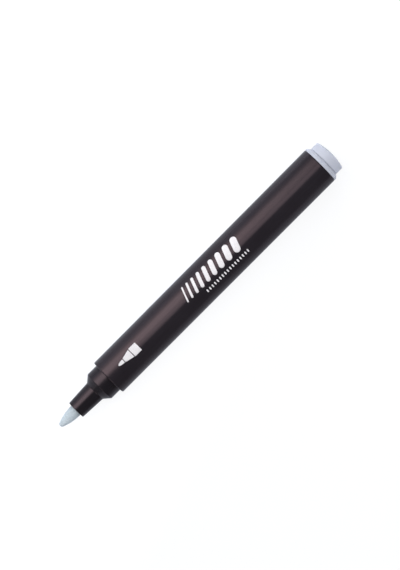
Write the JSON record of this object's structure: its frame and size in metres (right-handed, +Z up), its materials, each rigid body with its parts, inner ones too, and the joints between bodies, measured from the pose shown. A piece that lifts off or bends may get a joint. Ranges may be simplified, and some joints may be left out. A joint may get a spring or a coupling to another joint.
{
  "type": "paint marker",
  "caption": "Uncapped paint marker: dark drafted barrel, stepped nose with a sprung bullet nib, valve and mixing ball inside, and a pale end plug with a posting stub.",
  "frame": {"origin": "centre of the bounding box in plan, on the surface the marker lies on", "axes": "+X along the marker from nib to end plug, +Z up, +Y across"},
  "size_m": [0.1294, 0.0142, 0.0142],
  "materials": {
    "body_plastic": "satin moulded",
    "plug_plastic": "satin moulded",
    "nib_fibre": "bonded fibre",
    "felt": "felt",
    "valve_plastic": "natural moulded",
    "seal_rubber": "moulded",
    "spring_steel": "drawn wire",
    "ball_steel": "polished"
  },
  "bodies": {
    "body": {"barrel": "body_plastic", "front_section": "body_plastic", "section_seal": "seal_rubber", "feed_felt": "felt", "valve_cup": "valve_plastic", "valve_gasket": "seal_rubber", "valve_spring": "spring_steel", "spring_retainer": "valve_plastic", "end_plug": "plug_plastic", "plug_seal": "seal_rubber"},
    "nib": {"nib": "nib_fibre"},
    "stem": {"valve_stem": "valve_plastic"},
    "ball": {"mixing_ball": "ball_steel"}
  },
  "joints": [
    {"name": "nib_press", "type": "slide", "parent": "body", "child": "nib", "axis": [1, 0, 0], "range_m": [0, 0.002], "stiffness_N_per_m": 400, "springref_m": -0.004},
    {"name": "valve_lift", "type": "slide", "parent": "body", "child": "stem", "axis": [1, 0, 0], "range_m": [0, 0.002], "deforming": ["valve_spring"]},
    {"name": "ball_travel", "type": "slide", "parent": "body", "child": "ball", "axis": [1, 0, 0], "range_m": [0, 0.06695]}
  ],
  "couplings": [
    {"joint": "valve_lift", "follows": "nib_press", "ratio": 1}
  ]
}
